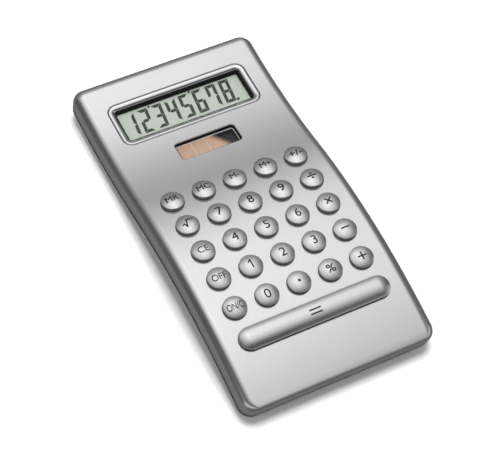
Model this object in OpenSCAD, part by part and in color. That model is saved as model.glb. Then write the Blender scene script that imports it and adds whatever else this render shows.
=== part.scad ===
// Pocket calculator with a wave-shaped case, solar cell, display and sprung keys.
// The face is a wave of two arcs: a hump under the keys and a valley under the display.
// A place on it is given by x across, s along the face from the bottom end, and h above the face.
// +X is to the right, +Y towards the display, +Z up, and the feet stand on z = 0.

/* [Face] */
// From the bottom end of the face to the centre of the equals key
bottom_margin = 19.2; // [18:0.1:30]
// From the centres of the outer key columns to the sides
side_margin = 10.1; // [9.6:0.1:20]
// From the centres of the top key row to the place where the hump turns into the valley
turn_gap = 5; // [4.5:0.1:9]
// From the centres of the top key row to the solar opening
solar_gap = 14.1; // [13.6:0.1:25]
// From the solar opening to the display opening
display_gap = 4.95; // [4.5:0.05:12]
// From the display opening to the top end of the face
top_margin = 9.8; // [9.6:0.1:25]
// Radius of the hump that carries the keys
hump_r = 160; // [120:1:400]
// Radius of the valley that carries the display
valley_r = 158; // [120:1:400]

/* [Case] */
// Thickness of the front cover's face
face_t = 1.5; // [1.2:0.1:2.5]
// Thickness of the front cover's sides
wall_t = 1.6; // [1.2:0.1:2]
// Depth of the front cover's sides
front_skirt = 5.8; // [5.2:0.1:6.6]
// Radius of the rounded edge of the face
edge_r = 3.2; // [1.5:0.1:3.6]
// Width of that rounded edge at the bottom end
near_edge = 0.8; // [0.6:0.1:3]
// Radius of the case's four corners, seen from above
corner_r = 4; // [3.4:0.1:8]
// Thickness of the rear cover's floor
rear_t = 1.4; // [1.2:0.1:2.5]
// Radius of the rounded edge of the rear cover
rear_edge_r = 2.9; // [1.5:0.1:3.2]
// How far the rear cover's sides stand back from the front cover's
rear_inset = 0.2; // [0:0.05:0.5]
// Shadow gap between the two covers
parting_gap = 0.3; // [0.2:0.05:0.5]
// Height of the rear cover's lip inside the front cover
lip_h = 1.2; // [0.8:0.1:1.6]
// Thickness of that lip
lip_t = 0.9; // [0.7:0.1:1.2]
// Gap between that lip and the front cover
lip_gap = 0.15; // [0.1:0.05:0.3]
// Draft of the rear cover's inner walls, by which they lean out towards the rim
rear_draft = 0.1; // [0.05:0.01:0.2]

/* [Keys] */
// Distance between key centres, across and along the face
key_pitch = 10; // [9.6:0.1:12]
// Diameter of a round key, and width of the equals key
key_d = 7; // [6:0.1:7.4]
// Height of a key's straight side above the face
key_side = 0.95; // [0.2:0.05:1.2]
// Height of a key's crown above its straight side
key_crown = 1; // [0.5:0.05:1.6]
// Radius of the edge round a key's crown
key_edge = 0.25; // [0.1:0.05:0.4]
// How far a key goes down
key_travel = 1; // [0.6:0.1:1.1]
// Gap all round between a key and its hole
key_gap = 0.1; // [0.1:0.05:0.25]
// How far a key's flange reaches past its hole, under the face
flange_lip = 0.5; // [0.4:0.05:0.6]
// Thickness of the flange
flange_t = 0.7; // [0.5:0.1:1]
// Gap between the flange and the face
flange_gap = 0.25; // [0.2:0.05:0.4]
// Diameter of the plunger under a key
plunger_d = 3; // [2.4:0.1:3.6]
// Length of that plunger
plunger_l = 0.45; // [0.3:0.05:1]
// Distance of the equals key's outer plungers from its middle
equals_plunger_x = 16; // [12:0.5:18]

/* [Keypad] */
// Diameter of a rubber dome at its foot
dome_d = 5.6; // [5:0.1:6.4]
// Height of a rubber dome above its mat
dome_h = 1.5; // [1.3:0.1:2]
// Thickness of a dome's wall
dome_wall = 0.6; // [0.5:0.05:0.8]
// Diameter of the contact pill inside a dome
pill_d = 2.2; // [1.6:0.1:2.4]
// Thickness of the rubber mat
mat_t = 0.7; // [0.5:0.1:1]
// Thickness of the contact film
film_t = 0.25; // [0.2:0.05:0.4]
// Width of the film's tail
tail_w = 12; // [8:0.5:13]
// Thickness of the steel plate behind the film
plate_t = 0.8; // [0.5:0.1:1]
// Gap between the keypad's layers and the case all round
pad_gap = 0.3; // [0.2:0.1:0.6]
// Gap between the guide ribs and the keys' flanges
rib_gap = 0.4; // [0.3:0.05:0.45]

/* [Display] */
// Width of the display opening
display_w = 45.5; // [40:0.1:46.5]
// Length of the display opening along the face
display_l = 16.1; // [14:0.1:20]
// Corner radius of the display opening
display_r = 3; // [2:0.1:4]
// Gap between the opening and the display frame
frame_gap = 0.15; // [0.1:0.05:0.25]
// Width of the frame's rim
frame_rim = 2; // [1.6:0.1:2.6]
// Depth of the rim's rounded slope
frame_slope = 0.8; // [0.4:0.1:1]
// How far the frame's flange reaches under the face
frame_flange = 0.9; // [0.7:0.1:1.2]
// Thickness of the display window
window_t = 0.8; // [0.6:0.1:1]
// How far the frame covers the edge of the window
window_seat = 0.7; // [0.4:0.1:1]
// Thickness of each of the display's two glasses
glass_t = 0.8; // [0.5:0.1:1]
// How far the upper glass reaches past the lower one
glass_ledge = 2; // [1.8:0.1:2.6]
// How far the display reaches past the window on each side
glass_border = 1.5; // [1.2:0.1:1.6]
// Thickness of the reflector foil
foil_t = 0.2; // [0.1:0.05:0.3]
// Thickness of the foam pad behind the foil
foam_t = 0.9; // [0.6:0.1:1.2]
// Thickness of the contact rubber between the display and the board
contact_rubber_t = 1.5; // [1:0.1:1.6]

/* [Board and power] */
// Thickness of the circuit board
board_t = 1; // [0.6:0.1:1.2]
// How far the board reaches past the display opening, towards the keys
board_near = 3.5; // [3:0.1:4]
// How far the board reaches past the display opening, towards the top end
board_far = 1.2; // [1:0.1:1.4]
// Diameter of the potted chip
chip_d = 8; // [6:0.5:12]
// Height of the potted chip
chip_h = 1.1; // [0.8:0.1:1.4]
// Width of the solar opening
solar_w = 19.5; // [16:0.1:21]
// Length of the solar opening along the face
solar_l = 6.85; // [6:0.05:9]
// Corner radius of the solar opening
solar_r = 1; // [0.4:0.1:2]
// How far the solar cell reaches behind the edge of its opening
solar_border = 1.5; // [1:0.1:1.7]
// Thickness of the solar cell
solar_t = 1.1; // [0.8:0.1:1.4]
// Diameter of the solar cell's leads
lead_d = 0.8; // [0.6:0.1:1]
// Diameter of the button cell
cell_d = 11.6; // [9.5:0.1:12]
// Height of the button cell
cell_h = 3.05; // [2:0.05:3.2]
// Thickness of the cell's contact strips
strip_t = 0.25; // [0.2:0.05:0.3]
// Width of the cell's contact strips
strip_w = 4; // [3:0.1:5]

/* [Screws and feet] */
// Diameter of a case screw
screw_d = 1.9; // [1.6:0.1:2.1]
// Diameter of a case screw's head
screw_head_d = 4; // [3.4:0.1:4.2]
// Height of a case screw's head
screw_head_h = 1.2; // [0.9:0.1:1.3]
// Diameter of the front cover's screw bosses
boss_d = 4.8; // [4.2:0.1:5]
// Diameter of a board screw
board_screw_d = 1.4; // [1.2:0.1:1.6]
// Diameter of a foot
foot_d = 6; // [5:0.1:6.2]
// Height of a foot at its middle
foot_h = 1.6; // [1.4:0.1:3]
// Distance of the front feet from the middle
front_foot_x = 17; // [12:0.5:18]
// Distance of the front feet from the bottom end
front_foot_s = 6.5; // [6.3:0.1:10]
// Distance of the rear feet from the middle
rear_foot_x = 21; // [12:0.5:22]

/* [Hidden] */
key_names = [
    ["key_mr", "key_mc", "key_m_minus", "key_m_plus", "key_sign"],
    ["key_root", "key_7", "key_8", "key_9", "key_divide"],
    ["key_ce", "key_4", "key_5", "key_6", "key_multiply"],
    ["key_off", "key_1", "key_2", "key_3", "key_minus"],
    ["key_on_c", "key_0", "key_point", "key_percent", "key_plus"]
];
fixed_names = [
    "front_cover", "rear_cover", "display_frame", "display_window", "lcd_glass", "lcd_reflector",
    "lcd_foam_pad", "contact_rubber", "circuit_board", "potted_chip", "solar_cell", "solar_leads",
    "button_cell", "battery_contact_plus", "battery_contact_minus", "keypad_mat", "contact_film",
    "backing_plate", "case_screws", "board_screws", "rubber_feet"
];

// Smoothness of round surfaces, of rounded corners and edges, and of the wave
$fn = 64;
corner_bends = 6;
edge_bends = 6;
crown_bends = 9;
wave_step = 3.6;
// Smallest corner radius, and the sink of one solid into another that it grows from
corner_min = 0.3;
sink = 0.6;
// Gap between parts that lie on each other, and round parts that are set in place
seat = 0.05;
play = 0.15;
// Reach of a cutting tool past the wall that it cuts
past = 1;

// Layout along the face
rows = len(key_names);
columns = len(key_names[0]);
top_row_s = bottom_margin + rows * key_pitch;
hump_len = top_row_s + turn_gap;
solar_s = top_row_s + solar_gap;
display_s = solar_s + solar_l + display_gap;
display_mid_s = display_s + display_l / 2;
solar_mid_s = solar_s + solar_l / 2;
face_len = display_s + display_l + top_margin;
function row_s(row) = bottom_margin + (rows - row) * key_pitch;
function column_x(column) = (column - (columns - 1) / 2) * key_pitch;

// Levels of the keys and of the keypad's layers, as heights above the face
key_r = key_d / 2;
hole_r = key_r + key_gap;
flange_r = hole_r + flange_lip;
flange_top = -face_t - flange_gap;
flange_low = flange_top - flange_t;
plunger_low = flange_low - plunger_l;
dome_top = plunger_low - seat;
mat_top = dome_top - dome_h;
mat_low = mat_top - mat_t;
film_top = mat_low - seat;
film_low = film_top - film_t;
plate_top = film_low - seat;
plate_low = plate_top - plate_t;

// Levels of the display's layers, as heights above the middle of the display
window_top = -frame_slope - window_seat;
frame_low = window_top - window_t - 2 * seat;
glass_top = frame_low - seat;
ledge_low = glass_top - glass_t;
glass_low = ledge_low - glass_t;
foil_low = glass_low - seat - foil_t;
foam_low = foil_low - seat - foam_t;
board_top = foam_low - seat;
board_low = board_top - board_t;

// The floor of the rear cover clears both stacks
support_rib_h = 1.6;
chip_room = 0.6;
floor_h = min(plate_low - seat - support_rib_h, board_low - chip_h - chip_room);
body_t = rear_t - floor_h;
rear_top = -front_skirt - parting_gap;
lip_inset = wall_t + lip_gap;
inner_inset = lip_inset + lip_t;

// The case is as wide as its keys need, or as the display between its board posts
post_wall = 0.65;
post_gap = 0.3;
post_r = board_screw_d / 2 + post_wall;
glass_w = display_w - 2 * frame_rim + 2 * window_seat + 2 * glass_border;
display_half_w = max(glass_w / 2, display_w / 2 + frame_flange) + post_gap + 2 * post_r;
keys_half_w = (columns - 1) * key_pitch / 2 + side_margin;
body_w = 2 * max(keys_half_w, display_half_w + pad_gap + inner_inset);
inner_half_w = body_w / 2 - inner_inset;
pad_half_w = inner_half_w - pad_gap;

// Screws of the case, in pairs at these distances from the bottom end
rear_boss_wall = 0.5;
end_room = 2;
key_room = 3.6;
screw_recess = 0.5;
screw_rest = 1.2;
tip_room = 0.3;
boss_r = boss_d / 2;
rear_boss_r = boss_r + rear_boss_wall;
screw_x = inner_half_w - boss_r - pad_gap;
screw_low_s = inner_inset + rear_boss_r + end_room;
screw_mid_s = top_row_s + flange_r + key_room;
screw_high_s = face_len - inner_inset - boss_r - pad_gap;
screw_places = [for (s = [screw_low_s, screw_mid_s, screw_high_s], side = [-1, 1]) [side * screw_x, s]];
screw_seat_h = screw_head_h + screw_recess - body_t;
screw_tip_h = -face_t - screw_rest;

// The keypad's layers lie between the lower and the middle screws
pad_end = 2.5;
pad_s0 = bottom_margin - flange_r - pad_end;
pad_s1 = screw_mid_s - rear_boss_r - pad_gap;

// The circuit board and its four posts, measured from the middle of the display
board_y0 = -display_l / 2 - board_near;
board_y1 = display_l / 2 + board_far;
board_w = 2 * pad_half_w;
post_end = 1;
board_screw_rest = 0.8;
post_x = pad_half_w - post_r;
post_y = display_l / 2 - post_end;
post_places = [for (y = [-post_y, post_y], side = [-1, 1]) [side * post_x, y]];
board_screw_head_r = board_screw_d;
board_screw_head_h = 0.8;
board_tip_h = -face_t - board_screw_rest;
board_s0 = display_mid_s + board_y0;
// Height above the face of a flat level, y away from the middle of the display
function flat_h(level, y) = level - y * y / 2 / valley_r;

// The solar cell's leads run beside the film's tail
lead_side_gap = 1.6;
lead_r = lead_d / 2;
lead_x = tail_w / 2 + lead_side_gap + lead_r;

// The button cell stands in a cup on the rear cover's floor, beside the leads
cup_gap = 0.2;
cup_wall = 0.8;
cup_h = 2;
cell_side_gap = 1.8;
cell_end_gap = 0.8;
cup_r = cell_d / 2 + cup_gap + cup_wall;
cell_x = lead_x + lead_r + cell_side_gap + cup_r;
cell_s = board_s0 - cup_r - cell_end_gap;
cell_low = floor_h + strip_t + seat + play;
cell_top = cell_low + cell_h;
cup_top = cell_low + cup_h;
strip_lap = 1.2;
strip_end_s = board_s0 + strip_lap;

// The solar cell's own size
solar_cell_w = solar_w + 2 * solar_border;
solar_cell_l = solar_l + 2 * solar_border;
solar_cell_top = -face_t - 2 * seat;
solar_cell_low = solar_cell_top - solar_t;
solar_rail = 0.8;
solar_rail_low = solar_cell_low - 4 * seat;

// The wave without its place in the frame, as [y, z], when the bottom end slopes up by t degrees
function degrees_of(arc, r) = arc / r * 180 / PI;
function slope_from(s, t) = s < hump_len
    ? t - degrees_of(s, hump_r)
    : t - degrees_of(hump_len, hump_r) + degrees_of(s - hump_len, valley_r);
function up(angle) = [-sin(angle), cos(angle)];
function hump_centre(t) = -hump_r * up(t);
function valley_centre(t) = hump_centre(t) + (hump_r + valley_r) * up(slope_from(hump_len, t));
function wave(s, h, t) = s < hump_len
    ? hump_centre(t) + (hump_r + h) * up(slope_from(s, t))
    : valley_centre(t) - (valley_r - h) * up(slope_from(s, t));

// The case leans so that the undersides above the front and the rear feet are level
foot_behind = 1;
rear_foot_s = display_mid_s + foot_behind;
foot_span = wave(rear_foot_s, -body_t, 0) - wave(front_foot_s, -body_t, 0);
lean = -atan2(foot_span[1], foot_span[0]);
straight = 0.2;
edge_fillet = min(edge_r, front_skirt - straight);
rear_fillet = min(rear_edge_r, body_t + rear_top - straight);
near_slope = slope_from(near_edge, lean);
near_reach = norm([near_edge * cos(near_slope), edge_fillet * sin(near_slope)]);
near_y = wave(near_edge, -edge_fillet, lean)[0] - near_reach;
far_y = wave(face_len, -front_skirt, lean)[0];
shift = [-(near_y + far_y) / 2, foot_h - wave(front_foot_s, -body_t, lean)[1]];
function slope(s) = slope_from(s, lean);
function face(s, h) = wave(s, h, lean) + shift;
function on_wave(x, s, h) = let (p = face(s, h)) [x, p[0], p[1]];

// Right half of a rounded rectangle's outline, set in by d, from its near end, set in by n, to its far end
function turned(q) = [cos(q), sin(q)];
function half_outline(w, s0, s1, r, d, n, steps) =
    let (rc = max(r - d, corner_min), rn = max(r - n, corner_min))
    let (x = w / 2 - d - rc, a = s0 + n + rn, b = s1 - d - rc)
    concat(
        [for (i = [0:corner_bends]) let (t = turned(90 * i / corner_bends - 90))
            [x + rc * t[0], a + rn * t[1]]],
        [for (i = [1:1:steps - 1]) [x + rc, a + (b - a) * i / steps]],
        [for (i = [0:corner_bends]) [x, b] + rc * turned(90 * i / corner_bends)]
    );

// Right half of the outline of a bar with round ends, set in by d
function half_bar(l, r, d) = let (bends = 2 * corner_bends)
    [for (i = [0:bends]) [l / 2, 0] + (r - d) * turned(180 * i / bends - 90)];

// A whole outline from its right half, anticlockwise seen from above
function whole(half) = concat(half, [for (i = [len(half) - 1:-1:0]) [-half[i][0], half[i][1]]]);
function ring_on_wave(half, h) = [for (p = whole(half)) on_wave(p[0], p[1], h)];
function ring_flat(half, h) = [for (p = whole(half)) [p[0], p[1], h]];

// Rounded edge, as [inset, height], from a flat top at height h down to a side at inset d
function edge_down(r, d, h) = [for (i = [0:edge_bends]) let (q = 90 * i / edge_bends)
    [d + r - r * sin(q), h - r + r * cos(q)]];

// Round drop as [radius, height] from its rim to its top
function drop(r, rise) = [for (i = [0:crown_bends]) let (q = 90 * i / crown_bends)
    [r * cos(q), rise * sin(q)]];

// Solid skin over rings of points that follow each other down the outside; closed makes a loop of them
module skin(rings, closed = false) {
    n = len(rings[0]);
    m = len(rings);
    sides = [for (j = [0:closed ? m - 1 : m - 2], i = [0:n - 1])
        let (k = (i + 1) % n, a = j * n, b = (j + 1) % m * n)
        each [[a + i, a + k, b + k], [a + i, b + k, b + i]]];
    z = (m - 1) * n;
    caps = [for (i = [0:n / 2 - 2]) let (o = n - 1 - i)
        each [[i, o, o - 1], [i, o - 1, i + 1], [z + i, z + i + 1, z + o - 1], [z + i, z + o - 1, z + o]]];
    polyhedron(points = [for (r = rings) each r], faces = closed ? sides : concat(sides, caps));
}

// Solid of rings of one rounded rectangle on the wave, by a profile of [inset, height], or of
// [inset, height, inset at the near end]
module wave_solid(w, s0, s1, r, profile, closed = false) {
    steps = max(2, ceil((s1 - s0 - 2 * r) / wave_step));
    skin([for (p = profile) let (near = len(p) > 2 ? p[2] : p[0])
        ring_on_wave(half_outline(w, s0, s1, r, p[0], near, steps), p[1])], closed);
}

// Strip of constant width whose top runs through places [s, h] on the wave
module wave_strip(w, route, t) {
    last = len(route) - 1;
    line = concat([for (i = [0:last - 1])
        let (a = route[i], b = route[i + 1], n = ceil((b[0] - a[0]) / wave_step))
        each [for (k = [0:n - 1]) a + (b - a) * k / n]], [route[last]]);
    upper = [for (p = line) face(p[0], p[1])];
    lower = [for (i = [len(line) - 1:-1:0]) face(line[i][0], line[i][1] - t)];
    translate([-w / 2, 0, 0])
        rotate([90, 0, 90])
            linear_extrude(w)
                polygon(concat(upper, lower));
}

// Strip that keeps its height above the face
module wave_sheet(w, s0, s1, top, low) {
    wave_strip(w, [[s0, top], [s1, top]], top - low);
}

// Stands its children on the face at x, s
module on_face(x, s) {
    p = face(s, 0);
    translate([x, p[0], p[1]])
        rotate([slope(s), 0, 0])
            children();
}

// Round bar along the normal between two heights
module pillar(r, low, top) {
    translate([0, 0, low])
        cylinder(r = r, h = top - low);
}

// Block along the normal between two heights, centred in width, from y0 to y1
module block(w, y0, y1, low, top) {
    translate([-w / 2, y0, low])
        cube([w, y1 - y0, top - low]);
}

// Places of every dome on the mat, as [x, s]
dome_places = concat(
    [for (r = [0:rows - 1], c = [0:columns - 1]) [column_x(c), row_s(r)]],
    [for (i = [-1:1]) [i * equals_plunger_x, bottom_margin]]
);

// Front cover: face, sides, guide ribs, screw bosses and board posts
guide_rib_min = 0.3;
guide_rib_t = max(guide_rib_min, key_pitch - 2 * (flange_r + rib_gap));
guide_rib_s = row_s(rows - 1) - flange_r;
equals_l = (columns - 1) * key_pitch;
module front_cover() {
    rounding = [for (p = edge_down(edge_fillet, 0, 0)) [p[0], p[1], p[0] * near_edge / edge_fillet]];
    profile = concat(rounding, [[0, -front_skirt], [wall_t, -front_skirt], [wall_t, -face_t]]);
    through = [[0, past], [0, -face_t - past]];
    color("silver")
        difference() {
            union() {
                wave_solid(body_w, 0, face_len, corner_r, profile);
                for (p = screw_places)
                    on_face(p[0], p[1])
                        pillar(boss_r, -front_skirt, -face_t + sink);
                for (p = post_places)
                    on_face(0, display_mid_s)
                        translate(p)
                            pillar(post_r, board_top + seat, -face_t + sink);
                for (i = [0:columns])
                    translate([column_x(i - 0.5), 0, 0])
                        wave_sheet(guide_rib_t, guide_rib_s, pad_s1, -face_t + sink, mat_top + seat);
                solar_rails();
            }
            wave_solid(display_w, display_s, display_s + display_l, display_r, through);
            wave_solid(solar_w, solar_s, solar_s + solar_l, solar_r, through);
            for (r = [0:rows - 1], c = [0:columns - 1])
                on_face(column_x(c), row_s(r))
                    pillar(hole_r, -face_t - past, past);
            on_face(0, bottom_margin)
                skin([for (p = through) ring_flat(half_bar(equals_l, hole_r, p[0]), p[1])]);
            for (p = screw_places)
                on_face(p[0], p[1])
                    pillar(screw_d / 2 + seat, -front_skirt - past, screw_tip_h + tip_room);
            for (p = post_places)
                on_face(0, display_mid_s)
                    translate(p)
                        pillar(board_screw_d / 2 + seat, board_top - past, board_tip_h + tip_room);
        }
}

// Rails under the face that hold the solar cell
module solar_rails() {
    on_face(0, solar_mid_s)
        difference() {
            block(
                solar_cell_w + 4 * seat + 2 * solar_rail,
                -solar_cell_l / 2 - 2 * seat - solar_rail,
                solar_cell_l / 2 + 2 * seat + solar_rail,
                solar_rail_low,
                -face_t + sink
            );
            block(
                solar_cell_w + 4 * seat,
                -solar_cell_l / 2 - 2 * seat,
                solar_cell_l / 2 + 2 * seat,
                solar_cell_low - past,
                past
            );
        }
}

// Rear cover: floor, sides, lip, screw bosses, ribs under the keypad and the button cell's cup
support_rib_t = 1.2;
support_rib_x = key_pitch;
module rear_cover() {
    profile = concat(
        [[lip_inset, -front_skirt + lip_h], [lip_inset, rear_top], [rear_inset, rear_top]],
        [for (i = [edge_bends:-1:0]) let (p = edge_down(rear_fillet, rear_inset, 0)[i])
            [p[0], -body_t - p[1]]]
    );
    // The inner walls bend at other places along the wave than the lip, so no corners fall on each other
    wider = 0.5;
    ahead = 0.7;
    top_inset = inner_inset - rear_draft;
    low_inset = inner_inset + rear_draft;
    inside = [[top_inset, past, top_inset + ahead], [low_inset, floor_h, low_inset + ahead]];
    color("dimgray")
        difference() {
            union() {
                difference() {
                    wave_solid(body_w, 0, face_len, corner_r, profile);
                    wave_solid(body_w, -ahead, face_len, corner_r + wider, inside);
                }
                for (p = screw_places)
                    on_face(p[0], p[1])
                        pillar(rear_boss_r, floor_h - sink, -front_skirt - seat);
                for (i = [-2:2])
                    translate([i * support_rib_x, 0, 0])
                        wave_sheet(support_rib_t, pad_s0, pad_s1, plate_low - seat, floor_h - sink);
                on_face(cell_x, cell_s)
                    cell_cup();
            }
            for (p = screw_places)
                on_face(p[0], p[1]) {
                    pillar(screw_d / 2 + play, -body_t - past, past);
                    pillar(screw_head_d / 2 + play, -body_t - past, screw_seat_h);
                }
        }
}

// Cup round the button cell, with a gap for the contact strip under the cell
module cell_cup() {
    difference() {
        pillar(cup_r, floor_h - sink, cup_top);
        pillar(cup_r - cup_wall, floor_h - past - sink, cup_top + past);
        block(strip_w + 2 * cup_gap, 0, 2 * cup_r, floor_h - past, cup_top + past);
    }
}

// Display frame: a rim that rolls over to the window, with a flange under the face
module display_frame() {
    crest = 0.3;
    crest_rise = 0.05;
    under_face = -face_t - 2 * seat;
    seat_edge = frame_rim - window_seat;
    roll_bends = 4;
    roll_start = frame_gap + 2 * crest;
    roll_w = frame_rim - roll_start;
    roll_h = crest_rise + frame_slope;
    roll = [for (i = [roll_bends:-1:0]) let (q = 90 * i / roll_bends)
        [roll_start + roll_w * sin(q), crest_rise - roll_h * (1 - cos(q))]];
    outside = [
        [frame_gap, crest_rise - crest / 2],
        [frame_gap, under_face], [-frame_flange, under_face], [-frame_flange, frame_low],
        [seat_edge, frame_low], [seat_edge, window_top + seat], [frame_rim, window_top + seat]
    ];
    profile = concat(outside, roll, [[frame_gap + crest, crest_rise]]);
    color("lightgray")
        wave_solid(display_w, display_s, display_s + display_l, display_r, profile, true);
}

// Clear window that lies in the frame
module display_window() {
    inset = frame_rim - window_seat + seat;
    color("azure", 0.4)
        wave_solid(
            display_w, display_s, display_s + display_l, display_r,
            [[inset, window_top], [inset, window_top - window_t]]
        );
}

// Display of two glasses; the upper one has a ledge for its contacts
glass_half_l = display_l / 2 - frame_rim + window_seat + glass_border;
module lcd_glass() {
    color("darkseagreen")
        on_face(0, display_mid_s) {
            block(glass_w, -glass_half_l, glass_half_l, ledge_low, glass_top);
            block(glass_w, -glass_half_l + glass_ledge, glass_half_l, glass_low, ledge_low);
        }
}

// Reflector foil behind the display
module lcd_reflector() {
    color("gainsboro")
        on_face(0, display_mid_s)
            block(glass_w, -glass_half_l + glass_ledge, glass_half_l, foil_low, foil_low + foil_t);
}

// Foam pad that presses the display against its frame
foam_inset = 1.2;
module lcd_foam_pad() {
    color("darkslategray")
        on_face(0, display_mid_s)
            block(
                glass_w - 2 * foam_inset,
                -glass_half_l + glass_ledge + foam_inset,
                glass_half_l - foam_inset,
                foam_low,
                foam_low + foam_t
            );
}

// Contact rubber between the display's ledge and the board
module contact_rubber() {
    y = -glass_half_l + 2 * seat;
    color("dimgray")
        on_face(0, display_mid_s)
            block(glass_w - 2 * foam_inset, y, y + contact_rubber_t, board_top + seat, ledge_low - seat);
}

// Circuit board with holes for its screws
module circuit_board() {
    color("seagreen")
        on_face(0, display_mid_s)
            difference() {
                block(board_w, board_y0, board_y1, board_low, board_top);
                for (p = post_places)
                    translate(p)
                        pillar(board_screw_d / 2 + play, board_low - past, board_top + past);
            }
}

// Chip under a drop of black resin, below the board
module potted_chip() {
    color("black")
        on_face(0, display_mid_s)
            translate([0, 0, board_low - seat])
                rotate([180, 0, 0])
                    rotate_extrude()
                        polygon(concat([[0, 0]], drop(chip_d / 2, chip_h)));
}

// Solar cell behind its opening
module solar_cell() {
    color("sienna")
        on_face(0, solar_mid_s)
            block(solar_cell_w, -solar_cell_l / 2, solar_cell_l / 2, solar_cell_low, solar_cell_top);
}

// Two leads from the back of the solar cell to the edge of the board, as [s, h]
lead_tail = 1.2;
lead_bend = 0.8;
lead_start_s = solar_mid_s + lead_tail;
lead_top = solar_cell_low - seat - lead_r;
lead_end_s = board_s0 + lead_tail;
lead_low = flat_h(board_top, board_y0) + play + lead_r;
lead_route = [
    [lead_start_s, lead_top], [lead_start_s + lead_bend, lead_top],
    [lead_end_s - lead_tail - lead_bend, lead_low], [lead_end_s, lead_low]
];
lead_sides = 8;
function lead_heading(i) = let (
    a = lead_route[max(i - 1, 0)],
    b = lead_route[min(i + 1, len(lead_route) - 1)]
) atan2(b[1] - a[1], b[0] - a[0]);
function lead_ring(x, i) = let (p = lead_route[i], turn = lead_heading(i))
    [for (k = [0:lead_sides - 1]) let (q = 360 * (k + 0.5) / lead_sides, n = lead_r * sin(q))
        on_wave(x - lead_r * cos(q), p[0] - n * sin(turn), p[1] + n * cos(turn))];
module solar_leads() {
    color("firebrick")
        for (side = [-1, 1])
            skin([for (i = [len(lead_route) - 1:-1:0]) lead_ring(side * lead_x, i)]);
}

// Button cell: can and cap
module button_cell() {
    cap_h = 0.3;
    cap_inset = 1.4;
    cap_r = cell_d / 2 - cap_inset;
    color("lightsteelblue")
        on_face(cell_x, cell_s) {
            pillar(cap_r, cell_low, cell_low + cap_h);
            pillar(cell_d / 2, cell_low + cap_h, cell_top);
        }
}

// Upper contact: a strip over the cell that runs on to the top of the board
strip_start_s = cell_s - cell_d / 4;
module battery_contact_plus() {
    top = cell_top + play + strip_t;
    end = flat_h(board_top, board_y0) + play + strip_t;
    over = cell_s + cell_d / 2;
    route = [[strip_start_s, top], [over, top], [board_s0 - strip_t, end], [strip_end_s, end]];
    color("goldenrod")
        translate([cell_x, 0, 0])
            wave_strip(strip_w, route, strip_t);
}

// Lower contact: a strip under the cell that runs on to the underside of the board
module battery_contact_minus() {
    top = floor_h + seat + strip_t;
    end = flat_h(board_low, board_y0) - play;
    route = [[strip_start_s, top], [cell_s + cup_r, top], [board_s0, end], [strip_end_s, end]];
    color("goldenrod")
        translate([cell_x, 0, 0])
            wave_strip(strip_w, route, strip_t);
}

// Rubber mat with a hollow dome and a contact pill under every key
dome_rim = 0.3;
dome_top_r = plunger_d / 2 + dome_rim;
module keypad_mat() {
    pill_low = film_top + key_travel;
    hollow_top = dome_top - dome_wall;
    color("slategray") {
        difference() {
            union() {
                wave_sheet(2 * pad_half_w, pad_s0, pad_s1, mat_top, mat_low);
                for (p = dome_places)
                    on_face(p[0], p[1])
                        translate([0, 0, mat_top - mat_t / 2])
                            cylinder(r1 = dome_d / 2, r2 = dome_top_r, h = dome_h + mat_t / 2);
            }
            for (p = dome_places)
                on_face(p[0], p[1])
                    difference() {
                        translate([0, 0, mat_low - past])
                            cylinder(
                                r1 = dome_d / 2 - dome_wall + past / 4,
                                r2 = dome_top_r - dome_wall / 2,
                                h = hollow_top - mat_low + past
                            );
                        pillar(pill_d / 2, pill_low, hollow_top + past);
                    }
        }
    }
}

// Contact film under the mat, with a tail that runs to the board
module contact_film() {
    end = flat_h(board_top, board_y0) + play + film_t;
    color("khaki") {
        wave_sheet(2 * pad_half_w, pad_s0, pad_s1, film_top, film_low);
        wave_strip(tail_w, [[pad_s1, film_top], [board_s0 - film_t, end], [strip_end_s, end]], film_t);
    }
}

// Steel plate that backs the film
module backing_plate() {
    color("lightslategray")
        wave_sheet(2 * pad_half_w, pad_s0, pad_s1, plate_top, plate_low);
}

// Screw with a round head and a cross slot, head down, seated at height h
module screw(d, head_r, head_h, h, tip) {
    slot_w = head_r / 3;
    slot_l = head_r * 1.4;
    difference() {
        union() {
            pillar(d / 2, h - head_h / 2, tip);
            pillar(head_r, h - head_h, h);
        }
        for (turn = [0, 90])
            rotate(turn)
                block(slot_w, -slot_l / 2, slot_l / 2, h - head_h - past, h - head_h / 2);
    }
}

// Six screws that hold the covers together
module case_screws() {
    color("gray")
        for (p = screw_places)
            on_face(p[0], p[1])
                screw(screw_d, screw_head_d / 2, screw_head_h, screw_seat_h - seat, screw_tip_h);
}

// Four screws that hold the board to its posts
module board_screws() {
    color("gray")
        for (p = post_places)
            on_face(0, display_mid_s)
                translate(p)
                    screw(
                        board_screw_d, board_screw_head_r, board_screw_head_h,
                        board_low - seat, board_tip_h
                    );
}

// Four feet whose tops follow the rear cover, level underneath
module rubber_feet() {
    color("black")
        difference() {
            for (p = [[front_foot_x, front_foot_s], [rear_foot_x, rear_foot_s]], side = [-1, 1])
                translate([side * p[0], face(p[1], -body_t)[0], 0])
                    cylinder(d = foot_d, h = foot_h + foot_d);
            wave_sheet(body_w, 0, face_len, 0, -body_t - seat);
        }
}

// Top of a key as [radius, height] from its side to its middle: a rounded edge, then a shallow dome
crown_reach = key_r - key_edge;
crown_r = (pow(crown_reach, 2) + pow(key_crown, 2) - pow(key_edge, 2)) / 2 / (key_crown - key_edge);
crown_angle = asin(crown_reach / (crown_r - key_edge));
crown_centre = key_side + key_crown - crown_r;
key_top = concat(
    [for (i = [0:edge_bends]) let (q = (90 - crown_angle) * i / edge_bends)
        [crown_reach + key_edge * cos(q), key_side + key_edge * sin(q)]],
    [for (i = [1:crown_bends]) let (q = crown_angle * (1 - i / crown_bends))
        [crown_r * sin(q), crown_centre + crown_r * cos(q)]]
);

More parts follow.
